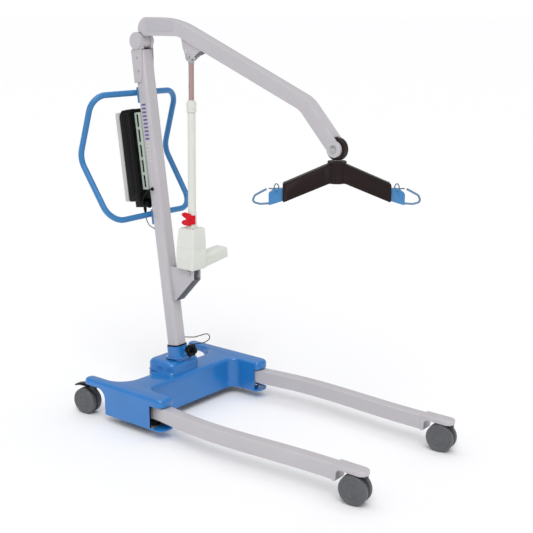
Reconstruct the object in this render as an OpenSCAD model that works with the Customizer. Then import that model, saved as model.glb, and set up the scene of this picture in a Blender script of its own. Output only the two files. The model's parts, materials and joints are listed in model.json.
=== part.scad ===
// Mobile patient lift hoist: wheeled base with spreading legs, leaning mast,
// actuator-driven boom and a two-point spreader bar.
// +Z up, legs point along -Y, origin on the floor at the middle of the base.

/* [Mast and boom] */
// Height of the boom hinge above the floor
hinge_z = 1388; // [1380:1:1396]
// Backward lean of the mast in degrees
mast_lean = 7.4; // [7.2:0.1:7.6]
// Mast tube width across the lift
mast_w = 56; // [54:1:58]
// Mast tube depth front to back
mast_d = 54; // [52:1:56]
// Width of the boom tube
boom_w = 48; // [46:1:50]
// Half depth of the sloping boom tube
boom_half = 23; // [21:1:25]

/* [Base] */
// Half width of the base cover
base_half = 306; // [304:1:308]
// Height of the top of the base cover
base_top = 150; // [148:1:152]
// Wheel diameter of the castors
wheel_d = 100; // [96:1:100]
// Castor trail from swivel axis to axle
trail = 30; // [28:1:31]

/* [Legs] */
// Width of a leg tube
leg_w = 46; // [44:1:48]
// How far each leg bows outwards
leg_bow = 25; // [20:1:28]
// Distance from the centre line to the front castor swivel
leg_x = 265; // [262:1:267]

/* [Spreader] */
// Angle of the spreader bar about the vertical, in degrees
bar_turn = -51; // [-90:1:90]
// Thickness of the moulded spreader arms
arm_t = 44; // [38:1:50]

/* [Handle] */
// Outer radius of the handle tube
handle_r = 11; // [10:0.5:12]
// Half width of the handle
handle_half = 217; // [205:1:225]

/* [Hidden] */
$fn = 48;
fit = 0.06;        // radial running clearance of pins in bores
wheel_r = wheel_d / 2;
hinge_y = 554;
front_y = -616;    // axle of the front castors
rear_y = 616;      // axle of the rear castors
castor_turn = 8;   // resting swivel angle of all four castors
rear_x = 273;      // rear castor swivels
rear_roof = 109;   // underside of the socket over a rear castor
pivot_x = 262;     // leg hinges
pivot_y = 266;
leg_z = 62;        // underside of a leg
leg_h = 54;
leg_end_y = -541;  // where a leg tube meets its end cap
lever_x = 246;     // pins that join the leg levers to the spreading actuator
lever_y = 386;
cap_z = 101.5;     // underside of the plate over a front castor
frame_z = 118;     // top of the steel cross beam
lock_x = 8;        // knob that clamps the mast in its socket
lock_y = 346;
lock_z = 233;
ram_low = [317, 545];
ram_top = [305, 1336];
ram_len = norm(ram_top - ram_low);
ram_tilt = atan2(ram_low[0] - ram_top[0], ram_top[1] - ram_low[1]);
boom_end = [-337, 1060];
hub_low = 948;

blue = [0.22, 0.48, 0.75];
lilac = [0.74, 0.72, 0.73];
cream = [0.85, 0.86, 0.83];
black = [0.12, 0.11, 0.11];
steel = [0.68, 0.67, 0.66];
grey = [0.36, 0.36, 0.37];

// ---- helpers ----

// Points of an arc from angle a0 to a1
function arc(c, r, a0, a1, n = 8) =
    [for (i = [0:n]) let (a = a0 + (a1 - a0) * i / n) c + r * [cos(a), sin(a)]];

function reversed(list) = [for (i = [len(list) - 1:-1:0]) list[i]];

function mirrored(list) = [for (p = reversed(list)) [-p[0], p[1]]];

// Rounds the corners of an open path of 3-D points; radii[i] belongs to points[i]
function fillet(points, radii, n = 6) = [
    for (i = [0:len(points) - 1])
        if (i == 0 || i == len(points) - 1 || radii[i] == 0) points[i]
        else
            let (u = unit(points[i - 1] - points[i]), v = unit(points[i + 1] - points[i]),
                 half = acos(u * v) / 2, cut = radii[i] / tan(half),
                 c = points[i] + unit(u + v) * radii[i] / sin(half),
                 p = points[i] + u * cut - c, q = points[i] + v * cut - c, turn = 180 - 2 * half)
            for (k = [0:n]) let (t = k / n)
                c + (p * sin((1 - t) * turn) + q * sin(t * turn)) / sin(turn)
];

function unit(v) = v / norm(v);

// Normals carried along the path so that the swept section does not twist
function carried(path, i, normal) =
    let (t = unit(path[min(i + 1, len(path) - 1)] - path[max(i - 1, 0)]),
         m = unit(normal - t * (normal * t)))
    i == len(path) - 1 ? [[t, m]] : concat([[t, m]], carried(path, i + 1, m));

module tube(path, r, sides = 12, normal = [0, 0, 1]) {
    frames = carried(path, 0, normal);
    n = len(path);
    rings = [for (i = [0:n - 1]) let (m = frames[i][1], b = cross(frames[i][0], m))
        for (k = [0:sides - 1]) path[i] + r * (cos(360 * k / sides) * m + sin(360 * k / sides) * b)];
    walls = [for (i = [0:n - 2], k = [0:sides - 1])
        let (a = i * sides + k, b = i * sides + (k + 1) % sides) [a, a + sides, b + sides, b]];
    ends = [[for (k = [0:sides - 1]) k], [for (k = [sides - 1:-1:0]) (n - 1) * sides + k]];
    polyhedron(points = rings, faces = concat(walls, ends), convexity = 10);
}

module rounded_rect(w, d, r) {
    square([w - 2 * r, d], center = true);
    square([w, d - 2 * r], center = true);
    for (x = [-1, 1], y = [-1, 1]) translate([x * (w / 2 - r), y * (d / 2 - r)]) circle(r, $fn = 32);
}

// A side profile drawn in Y and Z, given thickness along X about x0
module side_plate(t, x0 = 0) {
    translate([x0 - t / 2, 0, 0]) rotate([90, 0, 90]) linear_extrude(t) children();
}

module x_cylinder(r, length, x0 = 0) {
    translate([x0 - length / 2, 0, 0]) rotate([0, 90, 0]) cylinder(r = r, h = length);
}

// Frame of the leaning mast: origin at the boom hinge, Z along the mast, Y to the rear
module on_mast() { translate([0, hinge_y, hinge_z]) rotate([-mast_lean, 0, 0]) children(); }

// Frame of the lifting actuator: origin at its lower pin, Z along the ram
module on_ram() { translate([0, ram_low[0], ram_low[1]]) rotate([ram_tilt, 0, 0]) children(); }

// Frame of the spreader: origin under the boom end, X along the bar
module on_bar() { translate([0, boom_end[0], 0]) rotate([0, 0, bar_turn]) children(); }

// ---- base ----

// Half outline of the base cover from the front middle round to the rear middle, inset by t
function base_half_outline(t) = concat(
    arc([194, 286], 40 + t, 90, 0),
    arc([254, 214], 20 - t, 180, 270, 5),
    arc([base_half - 30, 224], 30 - t, 270, 360, 6),
    arc([base_half - 22, 584], 22 - t, 0, 90, 6),
    arc([280, 584], 22 - t, 90, 180, 6),
    arc([183, 514], 75 + t, 0, -90, 10),
    arc([97, 454], 15 + t, 270, 180, 5),
    arc([57, 467], 25 - t, 0, 90, 6));

module base_outline(t = 0) {
    half = base_half_outline(t);
    polygon(concat(half, mirrored(half)));
}

module base_cover() {
    color(blue) difference() {
        translate([0, 0, 30]) linear_extrude(base_top - 30) base_outline();
        difference() {
            translate([0, 0, 25]) linear_extrude(base_top - 29) base_outline(4);
            // floor under each leg where it leaves the nose
            for (s = [-1, 1]) translate([s * 275 - 45, 180, 20]) cube([90, 66, 14]);
        }
        for (s = [-1, 1]) {
            // nose mouth for the leg and the open arch over the rear castor
            translate([s * 275 - 35, 180, 36]) cube([70, 72, 84]);
            translate([s * 230 - 12, 180, 36]) cube([24, 34, 84]);
            side_plate(80, s * 281)
                polygon(concat([[487, 20]], arc([525, 88], 38, 180, 90, 5), [[620, 126], [620, 20]]));
        }
        on_mast() translate([0, 0, -1300]) linear_extrude(400) rounded_rect(mast_w + 14, mast_d + 14, 18);
    }
}

module tower_cover() {
    color(blue) difference() {
        translate([0, 424, base_top]) linear_extrude(42) rounded_rect(160, 136, 25);
        translate([0, 424, base_top - 1]) linear_extrude(39) rounded_rect(152, 128, 21);
        on_mast() translate([0, 0, -1300]) linear_extrude(400) rounded_rect(mast_w + 11, mast_d + 11, 17);
        translate([55, 388, base_top]) cylinder(r = 6.1, h = 60);
    }
}

module base_frame() {
    color(grey) difference() {
        union() {
            difference() {
                translate([-258, 372, 92]) cube([516, 60, 26]);
                translate([-300, 375, 95]) cube([600, 54, 20]);
            }
            for (s = [-1, 1]) {
                // upper and lower plates that carry the leg hinge
                translate([s * 263 - 23, 240, frame_z]) cube([46, 192, 8]);
                translate([s * 263 - 23, 246.5, 30]) cube([46, 83.5, 6]);
                translate([s * 286 - 6, 296, 30]) cube([12, 34, 90]);
                // arm and socket of the rear castor
                translate([s * 262 - 14, 424, 92]) cube([28, 16, 38]);
                translate([s * (rear_x + 1.6) - 12, 424, 126]) cube([24, 162, 8]);
                translate([s * rear_x, rear_y - trail, rear_roof]) cylinder(r = 10.4, h = 134 - rear_roof);
            }
        }
        for (s = [-1, 1]) {
            translate([s * pivot_x, pivot_y, 0]) cylinder(r = 12.05, h = 200);
            translate([s * rear_x, rear_y - trail, 100]) cylinder(r = 5.5, h = 36);
        }
    }
}

module leg_pivot_bolts() {
    color(steel) for (s = [-1, 1]) translate([s * pivot_x, pivot_y, 0]) {
        translate([0, 0, 29]) cylinder(r = 12, h = 98);
        translate([0, 0, 22]) cylinder(r = 18, h = 7.9);
        translate([0, 0, frame_z + 8.1]) cylinder(r = 17, h = 9);
    }
}

module mast_collar() {
    color(blue) difference() {
        union() {
            on_mast() translate([0, 0, -1300]) linear_extrude(145) rounded_rect(mast_w + 10, mast_d + 10, 17);
            translate([lock_x, lock_y + 31, lock_z]) rotate([90, 0, 0]) cylinder(r = 11, h = 25);
        }
        on_mast() translate([0, 0, -1320]) linear_extrude(400) rounded_rect(mast_w + 0.6, mast_d + 0.6, 13.3);
        translate([lock_x, lock_y + 60, lock_z]) rotate([90, 0, 0]) cylinder(r = 5 + fit, h = 80);
        translate([-100, 300, 0]) cube([200, 200, frame_z]);
    }
}

module collar_seal() {
    color(black) on_mast() translate([0, 0, -1154.9]) linear_extrude(5) difference() {
        rounded_rect(mast_w + 8, mast_d + 8, 16);
        rounded_rect(mast_w + 0.6, mast_d + 0.6, 13.3);
    }
}

// Hand knob that clamps the mast in its socket
module lock_knob() {
    color(black) translate([lock_x, lock_y, lock_z]) rotate([90, 0, 0]) {
        cylinder(r = 22, h = 18);
        for (a = [0:60:300]) rotate([0, 0, a]) translate([19, 0, 0]) cylinder(r = 6.5, h = 18);
        translate([0, 0, 17]) cylinder(r = 8, h = 20);
        translate([0, 0, -5.8]) cylinder(r = 9, h = 6);
        translate([0, 0, -29.5]) cylinder(r = 5, h = 30);
    }
}

// ---- mast ----

module mast() {
    color(lilac) difference() {
        on_mast() translate([0, 0, -1300]) linear_extrude(1267) difference() {
            rounded_rect(mast_w, mast_d, 13);
            rounded_rect(mast_w - 6, mast_d - 6, 10);
        }
        translate([-100, 300, 0]) cube([200, 200, frame_z]);
    }
}

// Plastic plug in the top of the mast and the grommets where leads pass through
module mast_plugs() {
    color(black) {
        on_mast() translate([0, 0, -32.9]) linear_extrude(1.6) rounded_rect(mast_w - 2, mast_d - 2, 12);
        translate([-mast_w / 2, 488, 846]) rotate([0, -90, 0]) cylinder(r = 6.5, h = 6.3);
        translate([mast_w / 2, 408, 264]) rotate([0, 90, 0]) cylinder(r = 6, h = 3.3);
        translate([55, 388, base_top + 30]) cylinder(r = 6, h = 26);
    }
}

module mast_head() {
    color(lilac) on_mast() difference() {
        union() {
            for (s = [-1, 1]) {
                x_cylinder(33, 14, s * 23.3);
                side_plate(14, s * 23.3) polygon([[-33, 0], [-27, -30.5], [30.9, -30.5], [33, 0]]);
                side_plate(3.2, s * 29.8) polygon(concat([[-25, -26], [-22, -60]],
                    arc([8, -132], 18, 180, 270, 5), [[30.9, -150], [30.9, -26]]));
            }
            translate([-31.4, mast_d / 2 + 0.3, -150]) cube([62.8, 3.6, 122]);
        }
        x_cylinder(10.05, 100);
        for (s = [-1, 1]) x_cylinder(31.4, 5, s * 32.85);
        translate([-16.2, -60, -60]) cube([32.4, 87.2, 100]);
        translate([-27.6, -60, -60]) cube([55.2, 87.2, 28.9]);
    }
}

// Boom hinge pin with a broad domed head at each side
module hinge_pin() {
    color(steel) on_mast() {
        x_cylinder(10, 61);
        for (s = [-1, 1]) rotate([0, s * 90, 0]) translate([0, 0, 30.4]) rotate_extrude()
            polygon(concat([[0, 0], [31, 0]], arc([26, 0], 5, 20, 90, 4), [[0, 5.6]]));
    }
}

// ---- handle ----

top_bar_z = 1199;
low_bar_z = 745;
plate_t = 6;

// Depth of a handle bar that lies against its plate on the rear of the mast
function bar_y(z) = hinge_y + (z - hinge_z) * tan(mast_lean)
    + (mast_d / 2 + 0.1 + plate_t + 0.1 + handle_r) / cos(mast_lean);

handle_route = fillet(
    [[0.5, bar_y(top_bar_z), top_bar_z], [-30, bar_y(top_bar_z), top_bar_z],
     [-handle_half, 594, top_bar_z - 2], [-handle_half - 4, 668, 966],
     [-handle_half + 1, bar_y(low_bar_z) + 2, low_bar_z - 3],
     [-30, bar_y(low_bar_z), low_bar_z], [0.5, bar_y(low_bar_z), low_bar_z]],
    [0, 60, 62, 75, 68, 60, 0]);

module handle() {
    color(blue) {
        tube(handle_route, handle_r);
        mirror([1, 0, 0]) tube(handle_route, handle_r);
    }
}

module handle_plates() {
    color(blue) on_mast() for (z = [top_bar_z, low_bar_z])
        translate([-25, mast_d / 2 + 0.1, (z - hinge_z) / cos(mast_lean) - 33]) cube([50, plate_t, 58]);
}

// ---- control box and leads ----

module box_bracket() {
    color([0.68, 0.71, 0.68]) on_mast() difference() {
        translate([-30, mast_d / 2 + 0.1, -547]) cube([60, 26.7, 289]);
        for (s = [-1, 1], i = [0:4])
            translate([s * 30 - 5, mast_d / 2 + 8, -540 + 57 * i]) cube([10, 12, 48]);
    }
}

module control_box() {
    color(black) on_mast() difference() {
        translate([0, 86, -590]) linear_extrude(345) rounded_rect(104, 63.8, 8);
        translate([38, 86, -470]) rotate([0, 90, 0]) cylinder(r = 11 + fit, h = 20);
    }
}

module battery_pack() {
    color([0.82, 0.83, 0.81]) on_mast() translate([0, 129.8, -590]) linear_extrude(338)
        rounded_rect(98, 23.2, 7);
}

// Sprung stop button on the side of the control box
module stop_button() {
    color([0.85, 0.1, 0.15]) on_mast() translate([44, 86, -470]) rotate([0, 90, 0]) {
        cylinder(r = 11, h = 12);
        translate([0, 0, 11.9]) cylinder(r = 14, h = 5);
    }
}

// Block of sockets under the control box, with a plug in one of them
module connector_block() {
    color(black) on_mast() {
        translate([-34, 36, -614]) cube([60, 66, 23.9]);
        translate([-20, 66, -642]) cylinder(r = 5.5, h = 27.9);
    }
}

// Short lead from the connector block to the side of the mast
box_lead_route = fillet([[-34.2, 530, 787], [-46, 530, 788], [-50, 514, 818], [-48, 489, 846],
    [-34.4, 488, 846]], [0, 11, 14, 11, 0], 3);
// Thin lead from the plug, behind the lower handle bar, to the rear of the mast
plug_lead_route = fillet([[-20, 536.5, 742], [-20, 534, 722], [-20, 520, 702], [-20, 491.4, 692]],
    [0, 18, 16, 0], 4);
// Loop of lead from the mast to the base, parted when the mast is lifted out
leg_lead_route = fillet([[31.4, 408, 264], [40, 408, 264], [70, 378, 262], [104, 342, 276], [122, 334, 256],
    [96, 348, 240], [55, 388, 232], [55, 388, 206.1]], [0, 14, 30, 14, 14, 16, 14, 0], 3);

module box_lead() { color(black) tube(box_lead_route, 2.6, 8); }

module plug_lead() { color(grey) tube(plug_lead_route, 1.9, 8); }

module leg_lead() { color(black) tube(leg_lead_route, 1.8, 8); }

// ---- lifting actuator ----

bracket_outline = [[424, 557], [293, 557], [293, 521], [381, 429], [409, 429]];

module actuator_bracket() {
    color(lilac) difference() {
        union() {
            for (s = [-1, 1]) side_plate(4, s * 18) polygon(bracket_outline);
            on_mast() translate([-26, -mast_d / 2 - 4.1, -967]) cube([52, 4, 129]);
        }
        on_mast() translate([-40, -mast_d / 2 - 0.1, -1100]) cube([80, 100, 400]);
        translate([0, ram_low[0], ram_low[1]]) x_cylinder(8.05, 80);
    }
}

module bracket_pin() {
    color(steel) translate([0, ram_low[0], ram_low[1]]) {
        x_cylinder(8, 41);
        for (s = [-1, 1]) x_cylinder(10, 4, s * 22.2);
    }
}

module actuator_clevis() {
    color(grey) on_ram() difference() {
        union() {
            x_cylinder(14, 31);
            translate([-15.5, -14, 0]) cube([31, 28, 15]);
            translate([-12, -12, 14]) cube([24, 24, 6]);
        }
        x_cylinder(8 + fit, 60);
    }
}

module motor_housing() {
    color(cream) on_ram() difference() {
        translate([0, 2, 95]) linear_extrude(75) rounded_rect(75, 76, 8);
        translate([0, 0, 94]) cylinder(r = 17.2, h = 90);
    }
}

// Lower housing with the motor standing out to one side
module motor_cover() {
    color(cream) on_ram() difference() {
        union() {
            translate([0, 6, 15.6]) linear_extrude(79.3) rounded_rect(76, 86, 9);
            // branch that houses the motor
            translate([0, 28, 0]) rotate([90, 0, 0]) linear_extrude(56)
                polygon([[30, 15.6], [50, 15.6], [172, 34], [166, 74], [30, 61]]);
        }
        translate([-12.2, -12.2, 0]) cube([24.4, 24.4, 20.2]);
    }
}

module actuator_tube() {
    color(cream) on_ram() difference() {
        union() {
            translate([0, 0, 96]) cylinder(r = 15, h = 500);
            translate([0, 0, 170.1]) cylinder(r = 19, h = 9);
            translate([0, 0, 179]) cylinder(r = 17, h = 50);
        }
        translate([0, 0, 100]) cylinder(r = 12, h = 600);
    }
}

module actuator_head() {
    color(cream) on_ram() difference() {
        union() {
            translate([0, 0, 596.1]) cylinder(r = 18, h = 38);
            translate([0, 0, 634]) cylinder(r = 13.5, h = 5);
        }
        translate([0, 0, 590]) cylinder(r = 10 + fit, h = 60);
    }
}

// Emergency lowering grip that is pulled up the tube
module release_grip() {
    color([0.85, 0.08, 0.18]) on_ram() difference() {
        union() {
            translate([0, 0, 186]) cylinder(r = 21, h = 34);
            side_plate(8, -20) polygon([[-12, 182], [-12, 226], [28, 226], [32, 221], [19, 211], [28, 206],
                [32, 197], [28, 187], [18, 181]]);
        }
        translate([0, 0, 150]) cylinder(r = 17 + fit, h = 100);
    }
}

module drive_screw() {
    color(steel) on_ram() translate([0, 0, 101]) cylinder(r = 5, h = 560);
}

module actuator_rod() {
    color(steel) on_ram() difference() {
        translate([0, 0, 300]) cylinder(r = 10, h = ram_len - 312);
        translate([0, 0, 290]) cylinder(r = 6, h = ram_len - 330);
    }
}

module rod_end() {
    color(steel) on_ram() difference() {
        union() {
            translate([0, 0, ram_len]) x_cylinder(13, 23);
            translate([0, 0, ram_len - 24]) cylinder(r = 11.4, h = 16);
        }
        translate([0, 0, ram_len - 30]) cylinder(r = 10.02, h = 18.1);
        translate([0, 0, ram_len]) x_cylinder(8 + fit, 60);
    }
}

// ---- boom ----

slope_1 = 22.7;
slope_2 = 48;
bend_r = 90;
bend_at = [-212.4, 1197.5];
bend_c = bend_at + bend_r / cos((slope_2 - slope_1) / 2)
    * [sin((slope_1 + slope_2) / 2), -cos((slope_1 + slope_2) / 2)];

// Side outline of the boom, inset by t
function boom_outline(t) = concat(
    arc([504, 1429], 45 - t, 0, 90, 6),
    arc([465, 1046], 427 - t, 90, 90 + slope_1, 8),
    arc(bend_c, bend_r + boom_half - t, 90 + slope_1, 90 + slope_2, 6),
    arc(boom_end, boom_half - t, 90 + slope_2, 270 + slope_2, 12),
    reversed(arc(bend_c, bend_r - boom_half + t, 90 + slope_1, 90 + slope_2, 6)),
    [[290, 1382 + t], [338, 1403 + t], [356, 1407.8 + t]],
    arc([hinge_y, hinge_z], 36.5 + t, 146, 94, 6));

module boom() {
    color(lilac) difference() {
        union() {
            difference() {
                union() {
                    side_plate(boom_w) polygon(boom_outline(0));
                    translate([0, boom_end[0], boom_end[1]]) x_cylinder(27, boom_w);
                }
                difference() {
                    side_plate(boom_w - 6) polygon(boom_outline(3));
                    translate([-40, boom_end[0] - 60, boom_end[1] - 60]) cube([80, 115, 130]);
                }
            }
            // neck between the two ears of the mast head
            translate([0, hinge_y, hinge_z]) {
                x_cylinder(30, 31.6);
                intersection() {
                    x_cylinder(38, 31.6);
                    side_plate(40) polygon([[0, 0], [-2.7, 40], [-34, 40], [-36, 20.4]]);
                }
            }
        }
        translate([0, hinge_y, hinge_z]) x_cylinder(10 + fit, 60);
        translate([0, boom_end[0], boom_end[1]]) {
            x_cylinder(39.5, 25);
            x_cylinder(8.05, 80);
        }
    }
}

module boom_panels() {
    color(lilac) for (s = [-1, 1]) translate([s * (boom_w / 2 + 0.6), 440, 1443]) rotate([90, 0, 90])
        translate([0, 0, -0.55]) linear_extrude(1.1) rounded_rect(134, 40, 12);
}

module boom_gusset() {
    color(lilac) difference() {
        for (s = [-1, 1]) side_plate(3.5, s * 15.3) polygon(concat([[339, 1440], [331, 1370]],
            arc(ram_top, 14, 15, -120, 7), [[250, 1357], [222, 1390]]));
        side_plate(60) polygon(boom_outline(-0.05));
    }
}

// Heads of the bolt through the gusset, and the pin of the hanger
module boom_fasteners() {
    color(steel) {
        for (s = [-1, 1]) translate([0, ram_top[0], ram_top[1]]) x_cylinder(8, 6, s * 20.1);
        translate([0, boom_end[0], boom_end[1]]) {
            x_cylinder(8, boom_w + 2);
            for (s = [-1, 1]) x_cylinder(11, 3, s * (boom_w / 2 + 1.6));
        }
    }
}

// ---- hanger and spreader ----

module hanger() {
    color(black) difference() {
        translate([0, boom_end[0], 0]) {
            translate([0, 0, boom_end[1]]) x_cylinder(37, 24);
            translate([0, 0, 962]) cylinder(r = 7, h = 72);
        }
        translate([0, boom_end[0], boom_end[1]]) x_cylinder(8 + fit, 60);
    }
}

module swivel_nut() {
    color(steel) translate([0, boom_end[0], hub_low + 3]) cylinder(r = 13, h = 10.9);
}

module spreader_hub() {
    color(black) on_bar() difference() {
        union() {
            translate([0, 0, hub_low]) cylinder(r = 29.5, h = 73);
            for (a = [0:30:330]) rotate([0, 0, a]) translate([27, 0, hub_low + 2]) cylinder(r = 5, h = 69);
        }
        translate([0, 0, hub_low - 1]) cylinder(r = 7 + fit, h = 90);
        translate([0, 0, hub_low - 1]) cylinder(r = 15, h = 15.2);
        for (s = [-1, 1]) translate([s * 34 - 6, -30, hub_low - 10]) cube([12, 60, 90]);
    }
}

module spreader_arms() {
    color(black) on_bar() for (s = [0, 180]) rotate([0, 0, s])
        translate([0, arm_t / 2, 0]) rotate([90, 0, 0]) linear_extrude(arm_t)
            polygon([[28.1, 952], [28.1, 1010], [31, 1011], [170, 950], [177, 941], [177, 894], [171, 887]]);
}

module hook_blocks() {
    color(blue) on_bar() for (s = [0, 180]) rotate([0, 0, s]) difference() {
        translate([0, 12, 0]) rotate([90, 0, 0]) linear_extrude(24)
            polygon([[177.1, 933], [202, 930], [223, 914], [223, 876], [177.1, 891]]);
        translate([189, -4.5, 898]) cube([60, 9, 60]);
        translate([197, 30, 922]) rotate([90, 0, 0]) cylinder(r = 3, h = 60);
    }
}

hook_route = fillet([[223.2, 0, 881], [250, 0, 879], [277, 0, 886], [268, 0, 908], [229, 0, 929]],
    [0, 30, 10, 14, 0], 5);

module hook_wires() {
    color(blue) on_bar() for (s = [0, 180]) rotate([0, 0, s]) tube(hook_route, 3.5, 10, [0, 1, 0]);
}

// Sprung latch that closes the mouth of a hook
module latch(side) {
    color(steel) on_bar() rotate([0, 0, side]) {
        translate([197, 11.5, 922]) rotate([90, 0, 0]) cylinder(r = 3 - fit, h = 23);
        translate([0, 3.5, 0]) rotate([90, 0, 0]) linear_extrude(7)
            polygon([[192, 917], [191, 926], [193, 948], [199, 948], [201, 931], [222, 932], [223, 926],
                [202, 917]]);
    }
}

module latch_right() { latch(180); }

module latch_left() { latch(0); }

// ---- legs ----

// Centre line of a leg from its hinge (u = 0) to its end cap (u = 1)
function leg_point(u) = [leg_x - 3 * (1 - u) + leg_bow * pow(sin(180 * pow(u, 0.715)), 2),
    pivot_y + (leg_end_y - pivot_y) * u];

function leg_side(offset, u0, u1, n = 18) = [for (i = [0:n])
    let (u = u0 + (u1 - u0) * i / n, d = unit(leg_point(u + 0.004) - leg_point(u - 0.004)))
    leg_point(u) + offset * [-d[1], d[0]]];

module leg_tube() {
    half = leg_w / 2;
    lever = [lever_x - pivot_x, lever_y - pivot_y];
    difference() {
        union() {
            translate([0, 0, leg_z]) linear_extrude(leg_h)
                polygon(concat(leg_side(half, 0.01, 1), reversed(leg_side(-half, 0.01, 1))));
            translate([pivot_x, pivot_y, leg_z]) cylinder(r = half - 2, h = leg_h);
            translate([pivot_x, pivot_y, 36.5]) cylinder(r = 18, h = leg_z + leg_h + 1 - 36.5);
            // lever that the spreading actuator pushes
            translate([lever_x, lever_y, 65.5]) cylinder(r = 11, h = 15);
            translate([pivot_x, pivot_y, 66]) rotate([0, 0, atan2(-lever[0], lever[1])]) translate([-8, 0, 0])
                cube([16, norm(lever), 14]);
        }
        translate([0, 0, leg_z + 3]) linear_extrude(leg_h - 6)
            polygon(concat(leg_side(half - 3, 0.05, 1.01), reversed(leg_side(3 - half, 0.05, 1.01))));
        translate([pivot_x, pivot_y, 0]) cylinder(r = 12 + fit, h = 200);
        translate([lever_x, lever_y, 0]) cylinder(r = 5 + fit, h = 200);
    }
}

module leg_left() { color(lilac) leg_tube(); }

module leg_right() { color(lilac) mirror([1, 0, 0]) leg_tube(); }

module leg_cap() {
    difference() {
        union() {
            translate([leg_x - 26, leg_end_y - 15.1, leg_z - 1]) cube([52, 15, leg_h + 3]);
            translate([leg_x, -602, cap_z]) linear_extrude(119 - cap_z) rounded_rect(52, 120, 20);
            translate([leg_x - 26, -600, cap_z]) cube([52, 46, 119 - cap_z]);
        }
        translate([leg_x, front_y - trail, 90]) cylinder(r = 5.5, h = 26.5);
    }
}

module leg_cap_left() { color(lilac) leg_cap(); }

module leg_cap_right() { color(lilac) mirror([1, 0, 0]) leg_cap(); }

// ---- castors ----

module castor_frame(x, y) { translate([x, y, 0]) rotate([0, 0, castor_turn]) children(); }

module front_castor(side) { castor_frame(side * leg_x, front_y - trail) children(); }

module rear_castor(side) { castor_frame(side * rear_x, rear_y - trail) children(); }

// Stem, middle web and axle of a twin-wheel castor
module castor_fork(roof, stem_top) {
    color(grey) {
        side_plate(11) polygon(concat([[-12, 101], [-14, 78]], arc([trail, wheel_r], 18, 200, 350, 8),
            [[trail + 24, 82], [trail + 16, 97], [trail + 4, 101]]));
        translate([0, trail, wheel_r]) x_cylinder(5, 46);
        translate([0, 0, 90]) cylinder(r = 5.5 - fit, h = stem_top - 90);
        translate([0, 0, 100.7]) cylinder(r = 14, h = roof - 101);
    }
}

// Rear castors also carry the lug of a brake pedal
module rear_castor_fork() {
    color(grey) difference() {
        union() {
            castor_fork(rear_roof, 133);
            translate([-4.5, 12, 100]) cube([9, 15, 16]);
        }
        translate([0, 20.5, 111]) x_cylinder(2.5 + fit, 40);
    }
}

module castor_wheels() {
    color(grey) for (s = [-1, 1]) translate([s * 6.2, trail, wheel_r]) rotate([0, s * 90, 0])
        rotate_extrude($fn = 72)
        polygon([[5 + fit, 0], [30, 0], [34, 2], [wheel_r - 3, 2], [wheel_r, 5], [wheel_r, 14],
            [wheel_r - 4, 18.4], [wheel_r - 9, 18.8], [wheel_r - 10, 17], [22, 15.5], [16, 17.5],
            [5 + fit, 17.5]]);
}

module brake_pedal() {
    color(black) {
        difference() {
            side_plate(30) polygon([[16, 107], [15.5, 117], [22, 120], [60, 114], [79, 108], [81, 103],
                [76, 103], [55, 108], [30, 108]]);
            translate([-5, 10, 90]) cube([10, 18, 40]);
        }
        translate([0, 20.5, 111]) x_cylinder(2.5, 20);
    }
}

module castor_fork_front_right() { front_castor(-1) castor_fork(cap_z, 115); }

module castor_fork_front_left() { front_castor(1) castor_fork(cap_z, 115); }

module castor_fork_rear_right() { rear_castor(-1) rear_castor_fork(); }

module castor_fork_rear_left() { rear_castor(1) rear_castor_fork(); }

module castor_wheels_front_right() { front_castor(-1) castor_wheels(); }

module castor_wheels_front_left() { front_castor(1) castor_wheels(); }

module castor_wheels_rear_right() { rear_castor(-1) castor_wheels(); }

module castor_wheels_rear_left() { rear_castor(1) castor_wheels(); }

module brake_pedal_right() { rear_castor(-1) brake_pedal(); }

module brake_pedal_left() { rear_castor(1) brake_pedal(); }

// ---- leg spreading actuator, inside the base ----

module along_x(x) { translate([x, lever_y, 56.5]) rotate([0, 90, 0]) children(); }

module spread_tongue(side) {
    translate([side * lever_x, lever_y, 49]) cylinder(r = 10, h = 14);
    translate([side * lever_x - 10 - side * 10, lever_y - 8, 49]) cube([20, 16, 14]);
    translate([side * lever_x, lever_y, 50]) cylinder(r = 5, h = 33);
}

module spread_tube() {
    color(cream) {
        difference() {
            union() {
                along_x(-230) cylinder(r = 13, h = 250);
                translate([-205, lever_y + 30, 60]) rotate([0, 90, 0]) cylinder(r = 17, h = 95);
                translate([-205, lever_y, 46]) cube([26, 30, 28]);
            }
            along_x(-218) cylinder(r = 6 + fit, h = 260);
        }
        spread_tongue(-1);
    }
}

module spread_rod() {
    color(steel) {
        along_x(-110) cylinder(r = 6, h = 340);
        spread_tongue(1);
    }
}

base_cover();
tower_cover();
base_frame();
leg_pivot_bolts();
mast_collar();
collar_seal();
lock_knob();
mast();
mast_plugs();
mast_head();
hinge_pin();
handle();
handle_plates();
box_bracket();
control_box();
battery_pack();
stop_button();
connector_block();
box_lead();
plug_lead();
leg_lead();
actuator_bracket();
bracket_pin();
actuator_clevis();
motor_cover();
motor_housing();
actuator_tube();
actuator_head();
release_grip();
drive_screw();
actuator_rod();
rod_end();
boom();
boom_panels();
boom_gusset();
boom_fasteners();
hanger();
swivel_nut();
spreader_hub();
spreader_arms();
hook_blocks();
hook_wires();
latch_right();
latch_left();
leg_right();
leg_left();
leg_cap_right();
leg_cap_left();
castor_fork_front_right();
castor_fork_front_left();
castor_fork_rear_right();
castor_fork_rear_left();
castor_wheels_front_right();
castor_wheels_front_left();
castor_wheels_rear_right();
castor_wheels_rear_left();
brake_pedal_right();
brake_pedal_left();
spread_tube();
spread_rod();
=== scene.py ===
"""Looks of the mobile patient lift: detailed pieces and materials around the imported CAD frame.
Shapes are drawn in millimetres in the frames of the joints and placed in metres."""

import json
from math import acos, atan2, cos, hypot, pi, radians, sin, tan

import bmesh
import bpy
from mathutils import Matrix, Vector


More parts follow.
